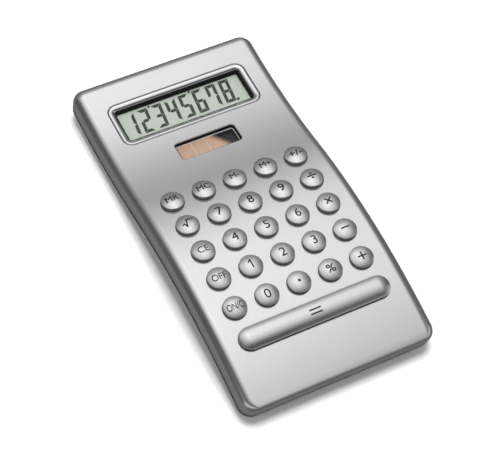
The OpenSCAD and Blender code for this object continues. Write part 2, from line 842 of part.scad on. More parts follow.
// Round key: crowned cap, flange under the face and plunger
module round_key() {
    color("silver")
        rotate_extrude()
            polygon(concat(
                [
                    [0, plunger_low], [plunger_d / 2, plunger_low], [plunger_d / 2, flange_low],
                    [flange_r, flange_low], [flange_r, flange_top], [key_r, flange_top]
                ],
                key_top
            ));
}

// Equals key: a crowned bar as long as the key rows, with three plungers
module key_equals() {
    profile = concat(
        [for (i = [len(key_top) - 2:-1:0]) [key_r - key_top[i][0], key_top[i][1]]],
        [[0, flange_top], [key_r - flange_r, flange_top], [key_r - flange_r, flange_low]]
    );
    color("silver")
        on_face(0, bottom_margin) {
            skin([for (p = profile) ring_flat(half_bar(equals_l, key_r, p[0]), p[1])]);
            for (i = [-1:1])
                translate([i * equals_plunger_x, 0, 0])
                    pillar(plunger_d / 2, plunger_low, flange_low + flange_t / 2);
        }
}

front_cover();
rear_cover();
display_frame();
display_window();
lcd_glass();
lcd_reflector();
lcd_foam_pad();
contact_rubber();
circuit_board();
potted_chip();
solar_cell();
solar_leads();
button_cell();
battery_contact_plus();
battery_contact_minus();
keypad_mat();
contact_film();
backing_plate();
case_screws();
board_screws();
rubber_feet();
for (r = [0:rows - 1], c = [0:columns - 1])
    on_face(column_x(c), row_s(r)) round_key();
key_equals();
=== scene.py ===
import bpy
import math
from mathutils import Matrix, Vector


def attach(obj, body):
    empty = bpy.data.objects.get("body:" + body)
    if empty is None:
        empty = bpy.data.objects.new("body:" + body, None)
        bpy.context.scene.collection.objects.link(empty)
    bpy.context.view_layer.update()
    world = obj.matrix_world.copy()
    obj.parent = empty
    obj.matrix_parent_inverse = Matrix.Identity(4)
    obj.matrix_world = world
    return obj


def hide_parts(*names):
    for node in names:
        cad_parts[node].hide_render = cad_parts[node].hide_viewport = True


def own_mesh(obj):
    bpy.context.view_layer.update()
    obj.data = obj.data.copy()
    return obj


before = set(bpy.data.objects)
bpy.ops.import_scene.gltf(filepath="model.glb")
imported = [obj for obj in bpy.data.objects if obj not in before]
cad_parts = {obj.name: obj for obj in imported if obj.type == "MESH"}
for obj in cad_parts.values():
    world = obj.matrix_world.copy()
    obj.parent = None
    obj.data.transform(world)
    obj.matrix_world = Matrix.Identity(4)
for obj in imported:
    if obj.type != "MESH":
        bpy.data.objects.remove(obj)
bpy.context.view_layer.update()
mm = 0.001
print("frame loaded")

# the wave of the face, in millimetres and degrees
wave = {"lean": 16.6814, "shiftY": -60.6114, "shiftZ": 8.96772, "hump": 160.0, "valley": 158.0, "turn": 74.2}


def slopeAt(s):
    lean = math.radians(wave["lean"])
    if s < wave["turn"]:
        return lean - s / wave["hump"]
    return lean - wave["turn"] / wave["hump"] + (s - wave["turn"]) / wave["valley"]


def facePoint(x, s, h):  # a place on the face, in metres
    lean = math.radians(wave["lean"])
    hump, valley = wave["hump"], wave["valley"]
    y, z = hump * math.sin(lean), -hump * math.cos(lean)  # middle of the hump's arc
    a = slopeAt(s)
    if s < wave["turn"]:
        y -= (hump + h) * math.sin(a)
        z += (hump + h) * math.cos(a)
    else:
        b = slopeAt(wave["turn"])
        y += (valley - h) * math.sin(a) - (hump + valley) * math.sin(b)
        z += (hump + valley) * math.cos(b) - (valley - h) * math.cos(a)
    return Vector((x, y + wave["shiftY"], z + wave["shiftZ"])) * mm


def faceMatrix(x, s):  # stands a piece made in millimetres on the face
    return Matrix.Translation(facePoint(x, s, 0)) @ Matrix.Rotation(slopeAt(s), 4, "X") @ Matrix.Scale(mm, 4)


# hand tools, with distances in millimetres
craft = {"close": 0.001, "upright": 0.01, "weld": 0.0005}


def clearPick():
    if bpy.context.mode != "OBJECT":
        bpy.ops.object.mode_set(mode="OBJECT")
    bpy.ops.object.select_all(action="DESELECT")


def hold(obj):  # the only selected object
    clearPick()
    obj.select_set(True)
    bpy.context.view_layer.objects.active = obj


def named(name):
    obj = bpy.context.object
    obj.name = name
    obj.data.name = name
    return obj


def pick(obj, kind, test):  # selects vertices, edges or faces by their place
    hold(obj)
    mesh = obj.data
    for group in (mesh.vertices, mesh.edges, mesh.polygons):
        group.foreach_set("select", [False] * len(group))
    if kind == "VERT":
        for v in mesh.vertices:
            v.select = test(v.co)
    if kind == "EDGE":
        for e in mesh.edges:
            e.select = test(mesh.vertices[e.vertices[0]].co, mesh.vertices[e.vertices[1]].co)
    if kind == "FACE":
        for f in mesh.polygons:
            f.select = test(f.center, f.normal)
    bpy.context.tool_settings.mesh_select_mode = (kind == "VERT", kind == "EDGE", kind == "FACE")
    bpy.ops.object.mode_set(mode="EDIT")


def pickAll(obj):
    hold(obj)
    bpy.context.tool_settings.mesh_select_mode = (True, False, False)
    bpy.ops.object.mode_set(mode="EDIT")
    bpy.ops.mesh.select_all(action="SELECT")


def pull(x, y, z):
    bpy.ops.mesh.extrude_region_move(TRANSFORM_OT_translate={"value": (x, y, z)})


def startBlock(name, w, s0, s1, low, top):
    clearPick()
    bpy.ops.mesh.primitive_cube_add(size=1, location=(0, (s0 + s1) / 2, (low + top) / 2))
    obj = named(name)
    obj.scale = (w, s1 - s0, top - low)
    bpy.ops.object.transform_apply(location=True, rotation=False, scale=True)
    return obj


def roundUprights(obj, radius, segments):
    pick(obj, "EDGE", lambda a, b: abs(a.z - b.z) > craft["upright"])
    bpy.ops.mesh.bevel(offset=radius, segments=segments, affect="EDGES", clamp_overlap=False)
    bpy.ops.object.mode_set(mode="OBJECT")


def roundRim(obj, level, radius, segments):  # the edges at one level
    pick(obj, "EDGE", lambda a, b: max(abs(a.z - level), abs(b.z - level)) < craft["close"])
    bpy.ops.mesh.bevel(offset=radius, segments=segments, affect="EDGES", clamp_overlap=False)
    bpy.ops.object.mode_set(mode="OBJECT")


def apply(obj, kind, **settings):
    hold(obj)
    change = obj.modifiers.new("change", kind)
    for key, value in settings.items():
        setattr(change, key, value)
    bpy.ops.object.modifier_apply(modifier=change.name)


def cutAway(obj, tool):
    apply(obj, "BOOLEAN", operation="DIFFERENCE", solver="EXACT", object=tool)
    bpy.data.objects.remove(tool)


def copyOf(obj, name):
    twin = obj.copy()
    twin.data = obj.data.copy()
    twin.name = name
    twin.data.name = name
    bpy.context.collection.objects.link(twin)
    return twin


def joined(name, pieces):
    hold(pieces[0])
    for piece in pieces[1:]:
        piece.select_set(True)
    bpy.ops.object.join()
    return named(name)


def spun(name, points, steps):  # a turned piece from its profile of radius and height
    clearPick()
    bpy.ops.mesh.primitive_plane_add(size=1)
    obj = named(name)
    pickAll(obj)
    bpy.ops.mesh.merge(type="CENTER")
    bpy.ops.transform.translate(value=(points[0][0], 0, points[0][1]))
    for a, b in zip(points, points[1:]):
        bpy.ops.mesh.extrude_vertices_move(TRANSFORM_OT_translate={"value": (b[0] - a[0], 0, b[1] - a[1])})
    bpy.ops.mesh.select_all(action="SELECT")
    bpy.ops.mesh.spin(steps=steps, angle=2 * math.pi, center=(0, 0, 0), axis=(0, 0, 1))
    bpy.ops.mesh.select_all(action="SELECT")
    bpy.ops.mesh.remove_doubles(threshold=craft["weld"])
    bpy.ops.mesh.fill_holes(sides=0)
    bpy.ops.mesh.select_all(action="SELECT")
    bpy.ops.mesh.normals_make_consistent(inside=False)
    bpy.ops.object.mode_set(mode="OBJECT")
    return obj


def stretched(obj, half):  # pulls a turned piece out into a bar
    for side in (-1, 1):
        pick(obj, "VERT", lambda c: c.x * side > 0)
        bpy.ops.transform.translate(value=(side * half, 0, 0))
        bpy.ops.object.mode_set(mode="OBJECT")
    return obj


def slices(obj, axis, places):  # cuts across a piece, so that it can bend
    normal = [0, 0, 0]
    normal[axis] = 1
    pickAll(obj)
    for place in places:
        bpy.ops.mesh.select_all(action="SELECT")
        bpy.ops.mesh.bisect(plane_co=[n * place for n in normal], plane_no=normal)
    bpy.ops.object.mode_set(mode="OBJECT")


def steps(first, last, step):
    count = max(1, round((last - first) / step))
    return [first + (last - first) * i / count for i in range(count + 1)]


def bendToWave(obj):
    clearPick()
    for v in obj.data.vertices:
        v.co = facePoint(*v.co)
    obj.data.update()


def standOn(obj, x, s):
    obj.data.transform(faceMatrix(x, s))
    obj.data.update()


def smooth(obj, angle=35):
    hold(obj)
    bpy.ops.object.shade_smooth_by_angle(angle=math.radians(angle))


def dress(obj, material, body, slot, *nodes):
    obj.data.materials.clear()
    obj.data.materials.append(material)
    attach(obj, body)
    if nodes:
        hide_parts(*nodes)


# materials
grainRange = (0.3, 0.7)  # the part of a noise that shows


def newFinish(name):
    material = bpy.data.materials.new(name)
    material.use_nodes = True
    return material, material.node_tree.nodes, material.node_tree.links


def grainNoise(nodes, links, scale, detail=3.0, stretch=(1, 1, 1)):
    place = nodes.new("ShaderNodeTexCoord")
    mapping = nodes.new("ShaderNodeMapping")
    mapping.inputs["Scale"].default_value = stretch
    noise = nodes.new("ShaderNodeTexNoise")
    noise.inputs["Scale"].default_value = scale
    noise.inputs["Detail"].default_value = detail
    links.new(place.outputs["Object"], mapping.inputs["Vector"])
    links.new(mapping.outputs["Vector"], noise.inputs["Vector"])
    return noise


def toneRamp(nodes, links, source, stops):
    ramp = nodes.new("ShaderNodeValToRGB")
    ramp.color_ramp.elements[0].position = stops[0][0]
    ramp.color_ramp.elements[1].position = stops[-1][0]
    for place, _ in stops[1:-1]:
        ramp.color_ramp.elements.new(place)
    for element, (_, tone) in zip(ramp.color_ramp.elements, stops):
        element.color = (*tone, 1)
    links.new(source, ramp.inputs["Fac"])
    return ramp


def spread(nodes, links, source, low, high):
    scale = nodes.new("ShaderNodeMapRange")
    scale.inputs["From Min"].default_value, scale.inputs["From Max"].default_value = grainRange
    scale.inputs["To Min"].default_value = low
    scale.inputs["To Max"].default_value = high
    links.new(source, scale.inputs["Value"])
    return scale.outputs["Result"]


def grainyFinish(name, tone, metal=0.0, rough=(0.4, 0.5), grain=2500, contrast=0.05, bump=0.1, depth=0.00003,
                 patch=80, stretch=(1, 1, 1), coat=0.0, level=0.5):
    material, nodes, links = newFinish(name)
    shader = nodes["Principled BSDF"]
    shader.inputs["Metallic"].default_value = metal
    shader.inputs["Coat Weight"].default_value = coat
    shader.inputs["Specular IOR Level"].default_value = level
    fine = grainNoise(nodes, links, grain, 3.0, stretch)
    broad = grainNoise(nodes, links, patch, 2.0)
    dark = [c * (1 - contrast) for c in tone]
    light = [min(1, c * (1 + contrast)) for c in tone]
    ramp = toneRamp(nodes, links, fine.outputs["Fac"], list(zip(grainRange, (dark, light))))
    links.new(ramp.outputs["Color"], shader.inputs["Base Color"])
    links.new(spread(nodes, links, broad.outputs["Fac"], *rough), shader.inputs["Roughness"])
    relief = nodes.new("ShaderNodeBump")
    relief.inputs["Strength"].default_value = bump
    relief.inputs["Distance"].default_value = depth
    links.new(fine.outputs["Fac"], relief.inputs["Height"])
    links.new(relief.outputs["Normal"], shader.inputs["Normal"])
    return material


silverPaint = grainyFinish("silverPaint", (0.76, 0.76, 0.762), metal=0.88, rough=(0.19, 0.23), grain=3000,
                           contrast=0.03, bump=0.03)
keyPaint = grainyFinish("keyPaint", (0.74, 0.74, 0.742), metal=0.9, rough=(0.19, 0.23), grain=3200,
                        contrast=0.06, bump=0.1)
# a darker copy of the key paint for the key sides: painted shade
keySideShade = grainyFinish("keySideShade", (0.42, 0.42, 0.43), metal=1.0, rough=(0.25, 0.3), grain=2600, contrast=0.06,
                       bump=0.08)
rimPlate = grainyFinish("rimPlate", (0.86, 0.86, 0.88), metal=0.95, rough=(0.12, 0.16), grain=2600,
                        contrast=0.02, bump=0.03)
rearPlastic = grainyFinish("rearPlastic", (0.36, 0.36, 0.37), metal=0.2, rough=(0.42, 0.5), grain=1800,
                           contrast=0.08, bump=0.35, depth=0.00005)
# near-black: the LCD's black mask in the display well, and painted shade in the seam, the well's recess and the solar
# opening's wall
blackMaskAndShade = grainyFinish("blackMaskAndShade", (0.01, 0.01, 0.011), rough=(0.6, 0.7), grain=2000, contrast=0.2, bump=0.1,
                         level=0.1)
legendInk = grainyFinish("legendInk", (0.018, 0.018, 0.02), rough=(0.55, 0.65), grain=4000, contrast=0.15, bump=0.05)
segmentInk = grainyFinish("segmentInk", (0.032, 0.046, 0.034), rough=(0.4, 0.5), grain=4000, contrast=0.1, bump=0.02)
footRubber = grainyFinish("footRubber", (0.025, 0.025, 0.026), rough=(0.65, 0.8), grain=1500, contrast=0.2, bump=0.4)
screwSteel = grainyFinish("screwSteel", (0.42, 0.42, 0.43), metal=1.0, rough=(0.28, 0.4), grain=1500, contrast=0.1,
                          bump=0.15)
plateSteel = grainyFinish("plateSteel", (0.55, 0.56, 0.57), metal=1.0, rough=(0.3, 0.42), grain=900, contrast=0.08,
                          bump=0.15, stretch=(0.05, 1, 1))
boardMask = grainyFinish("boardMask", (0.03, 0.16, 0.07), rough=(0.3, 0.4), grain=1400, contrast=0.12, bump=0.1,
                         coat=0.3)
chipResin = grainyFinish("chipResin", (0.012, 0.012, 0.013), rough=(0.18, 0.3), grain=600, contrast=0.2, bump=0.1)
darkFoam = grainyFinish("darkFoam", (0.02, 0.02, 0.022), rough=(0.85, 0.95), grain=2200, contrast=0.4, bump=0.9,
                        depth=0.0001)
stripedRubber = grainyFinish("stripedRubber", (0.05, 0.05, 0.055), rough=(0.6, 0.7), grain=4000, contrast=0.5,
                             bump=0.1, stretch=(1, 0.02, 0.02))
wireJacket = grainyFinish("wireJacket", (0.32, 0.02, 0.015), rough=(0.35, 0.45), grain=1500, contrast=0.1, bump=0.05)
cellSteel = grainyFinish("cellSteel", (0.7, 0.71, 0.72), metal=1.0, rough=(0.2, 0.3), grain=1200, contrast=0.05,
                         bump=0.05)
springBrass = grainyFinish("springBrass", (0.66, 0.46, 0.17), metal=1.0, rough=(0.25, 0.35), grain=1200,
                           contrast=0.06, bump=0.08)
matRubber = grainyFinish("matRubber", (0.27, 0.28, 0.3), rough=(0.6, 0.7), grain=1600, contrast=0.06, bump=0.2)
filmPrint = grainyFinish("filmPrint", (0.5, 0.36, 0.12), rough=(0.25, 0.35), grain=1600, contrast=0.06, bump=0.04)
foilSilver = grainyFinish("foilSilver", (0.8, 0.8, 0.78), metal=1.0, rough=(0.3, 0.4), grain=900, contrast=0.05,
                          bump=0.15, stretch=(0.05, 1, 1))
panelGreen = grainyFinish("panelGreen", (0.515, 0.578, 0.497), rough=(0.35, 0.45), grain=1800, contrast=0.02,
                          bump=0.02, patch=40)
paleLine = grainyFinish("paleLine", (0.8, 0.8, 0.82), metal=0.2, rough=(0.3, 0.4), grain=2500, contrast=0.04,
                        bump=0.03)
cellLine = grainyFinish("cellLine", (0.75, 0.68, 0.6), metal=0.3, rough=(0.3, 0.4), grain=2500, contrast=0.05,
                        bump=0.03)


pane = {"tone": (0.9, 0.95, 0.92, 1), "alpha": 0.006, "level": 0.05, "smear": 120, "rough": (0.06, 0.12)}


def clearPane(name):
    material, nodes, links = newFinish(name)
    shader = nodes["Principled BSDF"]
    shader.inputs["Base Color"].default_value = pane["tone"]
    shader.inputs["Alpha"].default_value = pane["alpha"]
    shader.inputs["Specular IOR Level"].default_value = pane["level"]
    smear = grainNoise(nodes, links, pane["smear"], 2.0)
    links.new(spread(nodes, links, smear.outputs["Fac"], *pane["rough"]), shader.inputs["Roughness"])
    return material


film = {"coat": 0.4, "coatRough": 0.08, "middle": (0.0051, 86.725), "slant": 34, "soft": (-0.0018, 0.0007),
        "grain": 1500, "copper": [(0.5, 0.32, 0.215), (0.6, 0.4, 0.28)], "dark": (0.014, 0.013, 0.017, 1),
        "rough": (0.3, 0.4)}


def solarFilm(name):  # copper cells on the left, with a dark painted reflection past a slanting line on the right
    material, nodes, links = newFinish(name)
    shader = nodes["Principled BSDF"]
    shader.inputs["Coat Weight"].default_value = film["coat"]
    shader.inputs["Coat Roughness"].default_value = film["coatRough"]
    place = nodes.new("ShaderNodeTexCoord")
    turn = nodes.new("ShaderNodeMapping")
    turn.vector_type = "TEXTURE"
    x, s = film["middle"]
    turn.inputs["Location"].default_value = (x, facePoint(0, s, 0).y, 0)
    turn.inputs["Rotation"].default_value = (0, 0, math.radians(film["slant"]))
    across = nodes.new("ShaderNodeSeparateXYZ")
    links.new(place.outputs["Object"], turn.inputs["Vector"])
    links.new(turn.outputs["Vector"], across.inputs["Vector"])
    edge = nodes.new("ShaderNodeMapRange")
    edge.interpolation_type = "SMOOTHSTEP"
    edge.inputs["From Min"].default_value, edge.inputs["From Max"].default_value = film["soft"]
    links.new(across.outputs["X"], edge.inputs["Value"])
    fine = grainNoise(nodes, links, film["grain"])
    copper = toneRamp(nodes, links, fine.outputs["Fac"], list(zip(grainRange, film["copper"])))
    # the dark tone past the slanting line is a painted reflection, not the cells' own colour
    mix = nodes.new("ShaderNodeMix")
    mix.data_type = "RGBA"
    links.new(edge.outputs["Result"], mix.inputs["Factor"])
    links.new(copper.outputs["Color"], mix.inputs["A"])
    mix.inputs["B"].default_value = film["dark"]
    links.new(mix.outputs["Result"], shader.inputs["Base Color"])
    links.new(spread(nodes, links, fine.outputs["Fac"], *film["rough"]), shader.inputs["Roughness"])
    return material


paneClear = clearPane("paneClear")
cellFilm = solarFilm("cellFilm")
print("finishes mixed")

# places of the keys, from the top row down
rowPlaces = [69.2, 59.2, 49.2, 39.2, 29.2]
columnPlaces = [-20.0, -10.0, 0.0, 10.0, 20.0]
barPlace = 19.2
keyRows = [["key_mr", "key_mc", "key_m_minus", "key_m_plus", "key_sign"],
           ["key_root", "key_7", "key_8", "key_9", "key_divide"],
           ["key_ce", "key_4", "key_5", "key_6", "key_multiply"],
           ["key_off", "key_1", "key_2", "key_3", "key_minus"],
           ["key_on_c", "key_0", "key_point", "key_percent", "key_plus"]]

front = {"width": 60.2, "length": 121.0, "skirt": 5.8, "faceThick": 1.5, "wall": 1.6, "edge": 3.2, "nearEdge": 0.8,
         "flatBand": 0.12, "corner": 4.0, "holeRadius": 3.5, "holeFlare": 0.05, "barHalf": 20.0, "bendStep": 1.1,
         "cornerBends": 12, "edgeBends": 12, "skirtEdge": 0.12, "skirtBends": 2, "holeSides": 46, "cutDeep": 4,
         "cutAbove": 1, "axis": 0.02}
displayHole = {"width": 45.5, "from": 95.1, "to": 111.2, "corner": 3.0, "flare": 0.16, "bends": 10}
solarHole = {"width": 19.5, "from": 83.3, "to": 90.15, "corner": 1.0, "flare": 0.22, "bends": 10}


def holeProfile():
    r, flare, axis = front["holeRadius"], front["holeFlare"], front["axis"]
    low, top = -front["cutDeep"], front["cutAbove"]
    return [(axis, low), (r, low), (r, -2 * flare), (r + flare / 3, -flare), (r + flare, 0), (r + flare, top),
            (axis, top)]


def openingCutter(hole):
    flare = hole["flare"]
    obj = startBlock("cutter", hole["width"] + 2 * flare, hole["from"] - flare, hole["to"] + flare, 0,
                     front["cutAbove"])
    roundUprights(obj, hole["corner"] + flare, hole["bends"])
    pick(obj, "FACE", lambda c, n: n.z < -0.9)
    bpy.ops.mesh.inset(thickness=flare * 0.6, depth=flare * 0.4)  # two steps of a rounded lip
    bpy.ops.mesh.inset(thickness=flare * 0.4, depth=flare * 0.8)
    pull(0, 0, -front["cutDeep"])
    bpy.ops.object.mode_set(mode="OBJECT")
    return obj


def tightenNearEdge(obj):  # the rounded edge is narrower at the bottom end
    edge, near, corner = front["edge"], front["nearEdge"], front["corner"]
    for v in obj.data.vertices:
        if v.co.y < corner and v.co.z > -edge:
            inset = edge - math.sqrt(max(0, edge ** 2 - (v.co.z + edge) ** 2))
            v.co.y = corner - (corner - v.co.y) * (corner - inset * near / edge) / (corner - inset)
    obj.data.update()


slivers = {"weld": 0.004, "thin": 0.002}


def tidySurface(obj):  # takes out the slivers that the cuts leave
    pickAll(obj)
    bpy.ops.mesh.remove_doubles(threshold=slivers["weld"])
    bpy.ops.mesh.select_all(action="SELECT")
    bpy.ops.mesh.dissolve_degenerate(threshold=slivers["thin"])
    bpy.ops.object.mode_set(mode="OBJECT")


def makeFront():
    f = front
    obj = startBlock("frontShell", f["width"], 0, f["length"], -f["skirt"], 0)
    roundUprights(obj, f["corner"], f["cornerBends"])
    roundRim(obj, 0, f["edge"], f["edgeBends"])
    tightenNearEdge(obj)
    pick(obj, "FACE", lambda c, n: n.z < -0.9)
    bpy.ops.mesh.inset(thickness=f["wall"])
    pull(0, 0, f["skirt"] - f["faceThick"])
    roundRim(obj, -f["skirt"], f["skirtEdge"], f["skirtBends"])
    first = spun("cutter", holeProfile(), f["holeSides"])
    cutters = [openingCutter(displayHole), openingCutter(solarHole)]
    for s in rowPlaces:
        for x in columnPlaces:
            hole = copyOf(first, "cutter")
            hole.data.transform(Matrix.Translation((x, s, 0)))
            cutters.append(hole)
    stretched(first, f["barHalf"]).data.transform(Matrix.Translation((0, barPlace, 0)))
    cutters.append(first)
    cutAway(obj, joined("cutter", cutters))
    side, far, band = f["width"] / 2 - f["edge"], f["length"] - f["edge"], f["flatBand"]
    slices(obj, 0, [band - side, side - band])  # narrow bands keep the rounding out of the flat of the face
    slices(obj, 1, [f["nearEdge"] + band, far - band])
    slices(obj, 1, steps(0, f["length"], f["bendStep"])[1:-1])
    tidySurface(obj)
    bendToWave(obj)
    smooth(obj, 30)
    dress(obj, silverPaint, "case", "silver_face", "front_cover")


makeFront()
print("front shell made")

rear = {"inset": 0.2, "low": -9.4, "top": -6.1, "edge": 2.9, "corner": 3.8, "lipInset": 1.75, "lipTop": -4.6,
        "lipThick": 0.9, "floor": -8.0, "bossRadius": 2.9, "bossTop": -5.85, "headRadius": 2.15, "seat": -7.7,
        "boreRadius": 1.1, "screwX": 24.75, "screwPlaces": [7.55, 76.9, 115.65], "edgeBends": 9, "bossSunk": 0.6,
        "sides": 40, "flareWide": 0.3, "flareDeep": 0.25, "past": 1}


def makeRear():
    r = rear
    half = front["width"] - 2 * r["inset"]
    obj = startBlock("rearShell", half, r["inset"], front["length"] - r["inset"], r["low"], r["top"])
    roundUprights(obj, r["corner"], front["cornerBends"])
    pick(obj, "FACE", lambda c, n: n.z > 0.9)
    bpy.ops.mesh.inset(thickness=r["lipInset"] - r["inset"])
    pull(0, 0, r["lipTop"] - r["top"])
    bpy.ops.mesh.inset(thickness=r["lipThick"])
    pull(0, 0, r["floor"] - r["lipTop"])
    roundRim(obj, r["low"], r["edge"], r["edgeBends"])
    head, low, past, foot = r["headRadius"], r["low"], r["past"], r["floor"] - r["bossSunk"]
    bosses, cutters = [], []
    for s in r["screwPlaces"]:
        for side in (-1, 1):
            place = Matrix.Translation((side * r["screwX"], s, 0))
            boss = spun("boss", [(0, foot), (r["bossRadius"], foot), (r["bossRadius"], r["bossTop"]),
                                 (0, r["bossTop"])], r["sides"])
            boss.data.transform(place)
            bosses.append(boss)
            bore = spun("cutter", [(0, low - past), (head + r["flareWide"], low - past), (head + r["flareWide"], low),
                                   (head, low + r["flareDeep"]), (head, r["seat"]), (r["boreRadius"], r["seat"]),
                                   (r["boreRadius"], past), (0, past)], r["sides"])
            bore.data.transform(place)
            cutters.append(bore)
    apply(obj, "BOOLEAN", operation="UNION", solver="EXACT", object=joined("bosses", bosses))
    bpy.data.objects.remove(bpy.data.objects["bosses"])
    cutAway(obj, joined("cutter", cutters))
    slices(obj, 1, steps(0, front["length"], front["bendStep"])[1:-1])
    tidySurface(obj)
    bendToWave(obj)
    smooth(obj)
    dress(obj, rearPlastic, "case", "grey_rear", "rear_cover")


makeRear()
print("rear shell made")


def ring(name, w, s0, s1, corner, profile):  # a rounded frame from its profile of inset and height
    d, h = profile[0]
    obj = startBlock(name, w - 2 * d, s0 + d, s1 - d, h - 1, h)  # all but its top goes
    roundUprights(obj, corner - d, front["cornerBends"])
    pick(obj, "FACE", lambda c, n: n.z < 0.5)
    bpy.ops.mesh.delete(type="FACE")
    pick(obj, "FACE", lambda c, n: True)
    for a, b in zip(profile, profile[1:]):
        bpy.ops.mesh.inset(thickness=max(b[0] - a[0], craft["close"]), depth=b[1] - a[1])
    bpy.ops.mesh.delete(type="ONLY_FACE")
    bpy.ops.mesh.select_all(action="DESELECT")
    bpy.ops.mesh.select_mode(type="EDGE")
    bpy.ops.mesh.select_non_manifold()
    bpy.ops.mesh.bridge_edge_loops()
    bpy.ops.mesh.select_all(action="SELECT")
    bpy.ops.mesh.normals_make_consistent(inside=False)
    slices(obj, 1, steps(s0, s1, front["bendStep"])[1:-1])
    bendToWave(obj)
    return obj


seam = {"profile": [(0.02, -6.7), (0.021, -5.82), (0.18, -5.82), (0.181, -6.7)]}  # black band in the gap between the covers: painted shade where the groove's shadow falls


def makeSeam():
    obj = ring("seamShadeBand", front["width"], 0, front["length"], front["corner"], seam["profile"])
    smooth(obj, 30)
    # the black on this band is painted shade of the groove, not a part of the case
    dress(obj, blackMaskAndShade, "case", "dark_well")


makeSeam()
print("seam made")

# the bright rim stands a little proud, then rolls over to the window
rim = {"outside": [(0.17, -1.3), (0.17, -0.3), (0.2, -0.14), (0.27, -0.03), (0.38, 0.03), (0.5, 0.05)],
       "rollFrom": (0.62, 0.05), "rollWide": 1.35, "rollEnd": 46, "rollBends": 10, "foot": -1.3}
# the dark well around the window: partly the display's black mask, partly painted shade in the recess under the rim
well = {"profile": [(1.2, -1.32), (1.972, -1.32), (1.974, -0.66), (2.0, -0.68), (2.38, -0.76), (2.381, -2.42)]}


def rimProfile():
    (d, h), bends = rim["rollFrom"], rim["rollBends"]
    points = list(rim["outside"])
    radius = rim["rollWide"] / math.sin(math.radians(rim["rollEnd"]))
    for i in range(bends + 1):
        q = math.radians(rim["rollEnd"] * i / bends)
        points.append((d + radius * math.sin(q), h - radius * (1 - math.cos(q))))
    return points + [(d + rim["rollWide"], rim["foot"])]


def makeRim():
    d = displayHole
    size = (d["width"], d["from"], d["to"], d["corner"])
    obj = ring("displayRim", *size, rimProfile())
    smooth(obj, 30)
    dress(obj, rimPlate, "case", "bright_rim", "display_frame")
    # the well's black stands partly for the LCD's black mask and partly for painted shade under the rim
    inner = ring("displayWell", *size, well["profile"])
    smooth(inner, 30)
    dress(inner, blackMaskAndShade, "case", "dark_well")


makeRim()
print("display rim made")

lcd = {"mid": 103.15, "top": -2.45, "turn": 0.7, "pitch": 4.55, "last": 14.93, "centre": 0.78, "height": 8.75,
       "width": 3.3, "slant": 0.115, "upright": 1.02, "level": 1.1, "gap": 0.06, "thick": 0.03, "lift": 0.005,
       "shown": ["bc", "abdeg", "abcdg", "bcfg", "acdfg", "acdefg", "abcf", "abcdefg"],
       "dot": (16.74, -3.1, 0.9), "ticks": [(-9.48, 5.1), (4.09, 5.26)], "tick": (0.55, 0.9)}


def segment(letter):  # the outline of one bar of a digit about its middle
    x, y = lcd["width"] / 2, lcd["height"] / 2
    up, flat, gap = lcd["upright"], lcd["level"], lcd["gap"]
    level = [(gap - x, y), (x - gap, y), (x - up - gap, y - flat), (up + gap - x, y - flat)]
    middle = [(gap + up / 2 - x, 0), (gap + up - x, flat / 2), (x - up - gap, flat / 2), (x - up / 2 - gap, 0),
              (x - up - gap, -flat / 2), (gap + up - x, -flat / 2)]
    upright = [(x, y - gap), (x, gap), (x - up / 2, gap), (x - up, flat / 2 + gap), (x - up, y - flat - gap)]
    points = {"a": level, "d": level, "g": middle}.get(letter, upright)
    flipX, flipY = -1 if letter in "ef" else 1, -1 if letter in "cde" else 1
    clearPick()
    bpy.ops.mesh.primitive_circle_add(vertices=len(points), radius=1, fill_type="NGON")
    obj = named("segment")
    for v, (px, py) in zip(obj.data.vertices, points):
        v.co = (px * flipX, py * flipY, 0)
    return obj


def makeSegments():
    pieces = []
    turn, last = math.radians(lcd["turn"]), len(lcd["shown"]) - 1
    for i, shown in enumerate(lcd["shown"]):
        for letter in shown:
            obj = segment(letter)
            for v in obj.data.vertices:
                v.co.x += v.co.y * lcd["slant"] + lcd["last"] - lcd["pitch"] * (last - i)
                v.co.y += lcd["centre"]
            pieces.append(obj)
    x, y, size = lcd["dot"]
    marks = [(x, y - math.sin(turn) * x, size, size)]
    for x, y in lcd["ticks"]:
        marks.append((x, y - math.sin(turn) * x, *lcd["tick"]))
    for x, y, wide, tall in marks:
        clearPick()
        bpy.ops.mesh.primitive_plane_add(size=1)
        obj = named("mark")
        for v in obj.data.vertices:
            v.co = (x + v.co.x * wide + v.co.y * tall * lcd["slant"], y + v.co.y * tall, 0)
        pieces.append(obj)
    obj = joined("displaySegments", pieces)
    pickAll(obj)
    pull(0, 0, lcd["thick"])
    bpy.ops.mesh.select_all(action="SELECT")
    bpy.ops.mesh.normals_make_consistent(inside=False)
    bpy.ops.object.mode_set(mode="OBJECT")
    obj.data.transform(Matrix.Translation((0, 0, lcd["top"] + lcd["lift"])) @ Matrix.Rotation(turn, 4, "Z"))
    standOn(obj, 0, lcd["mid"])
    dress(obj, segmentInk, "case", "segment_ink")


makeSegments()
print("display segments made")

solar = {"mid": 86.725, "width": 22.5, "length": 9.85, "top": -1.6, "low": -2.7, "lines": [-4.5, 0.1],
         "lineWide": 0.16, "lineEnd": 0.6, "lineThick": 0.02, "lineEdge": 0.015, "edge": 0.08, "bends": 2,
         "wallShade": [(0.0, -1.58), (0.01, -0.3), (0.1, -0.26), (0.14, -0.3), (0.16, -1.58)],
         "edgeLine": [(0.17, -1.61), (0.18, -1.36), (0.32, -1.36), (0.36, -1.61)]}


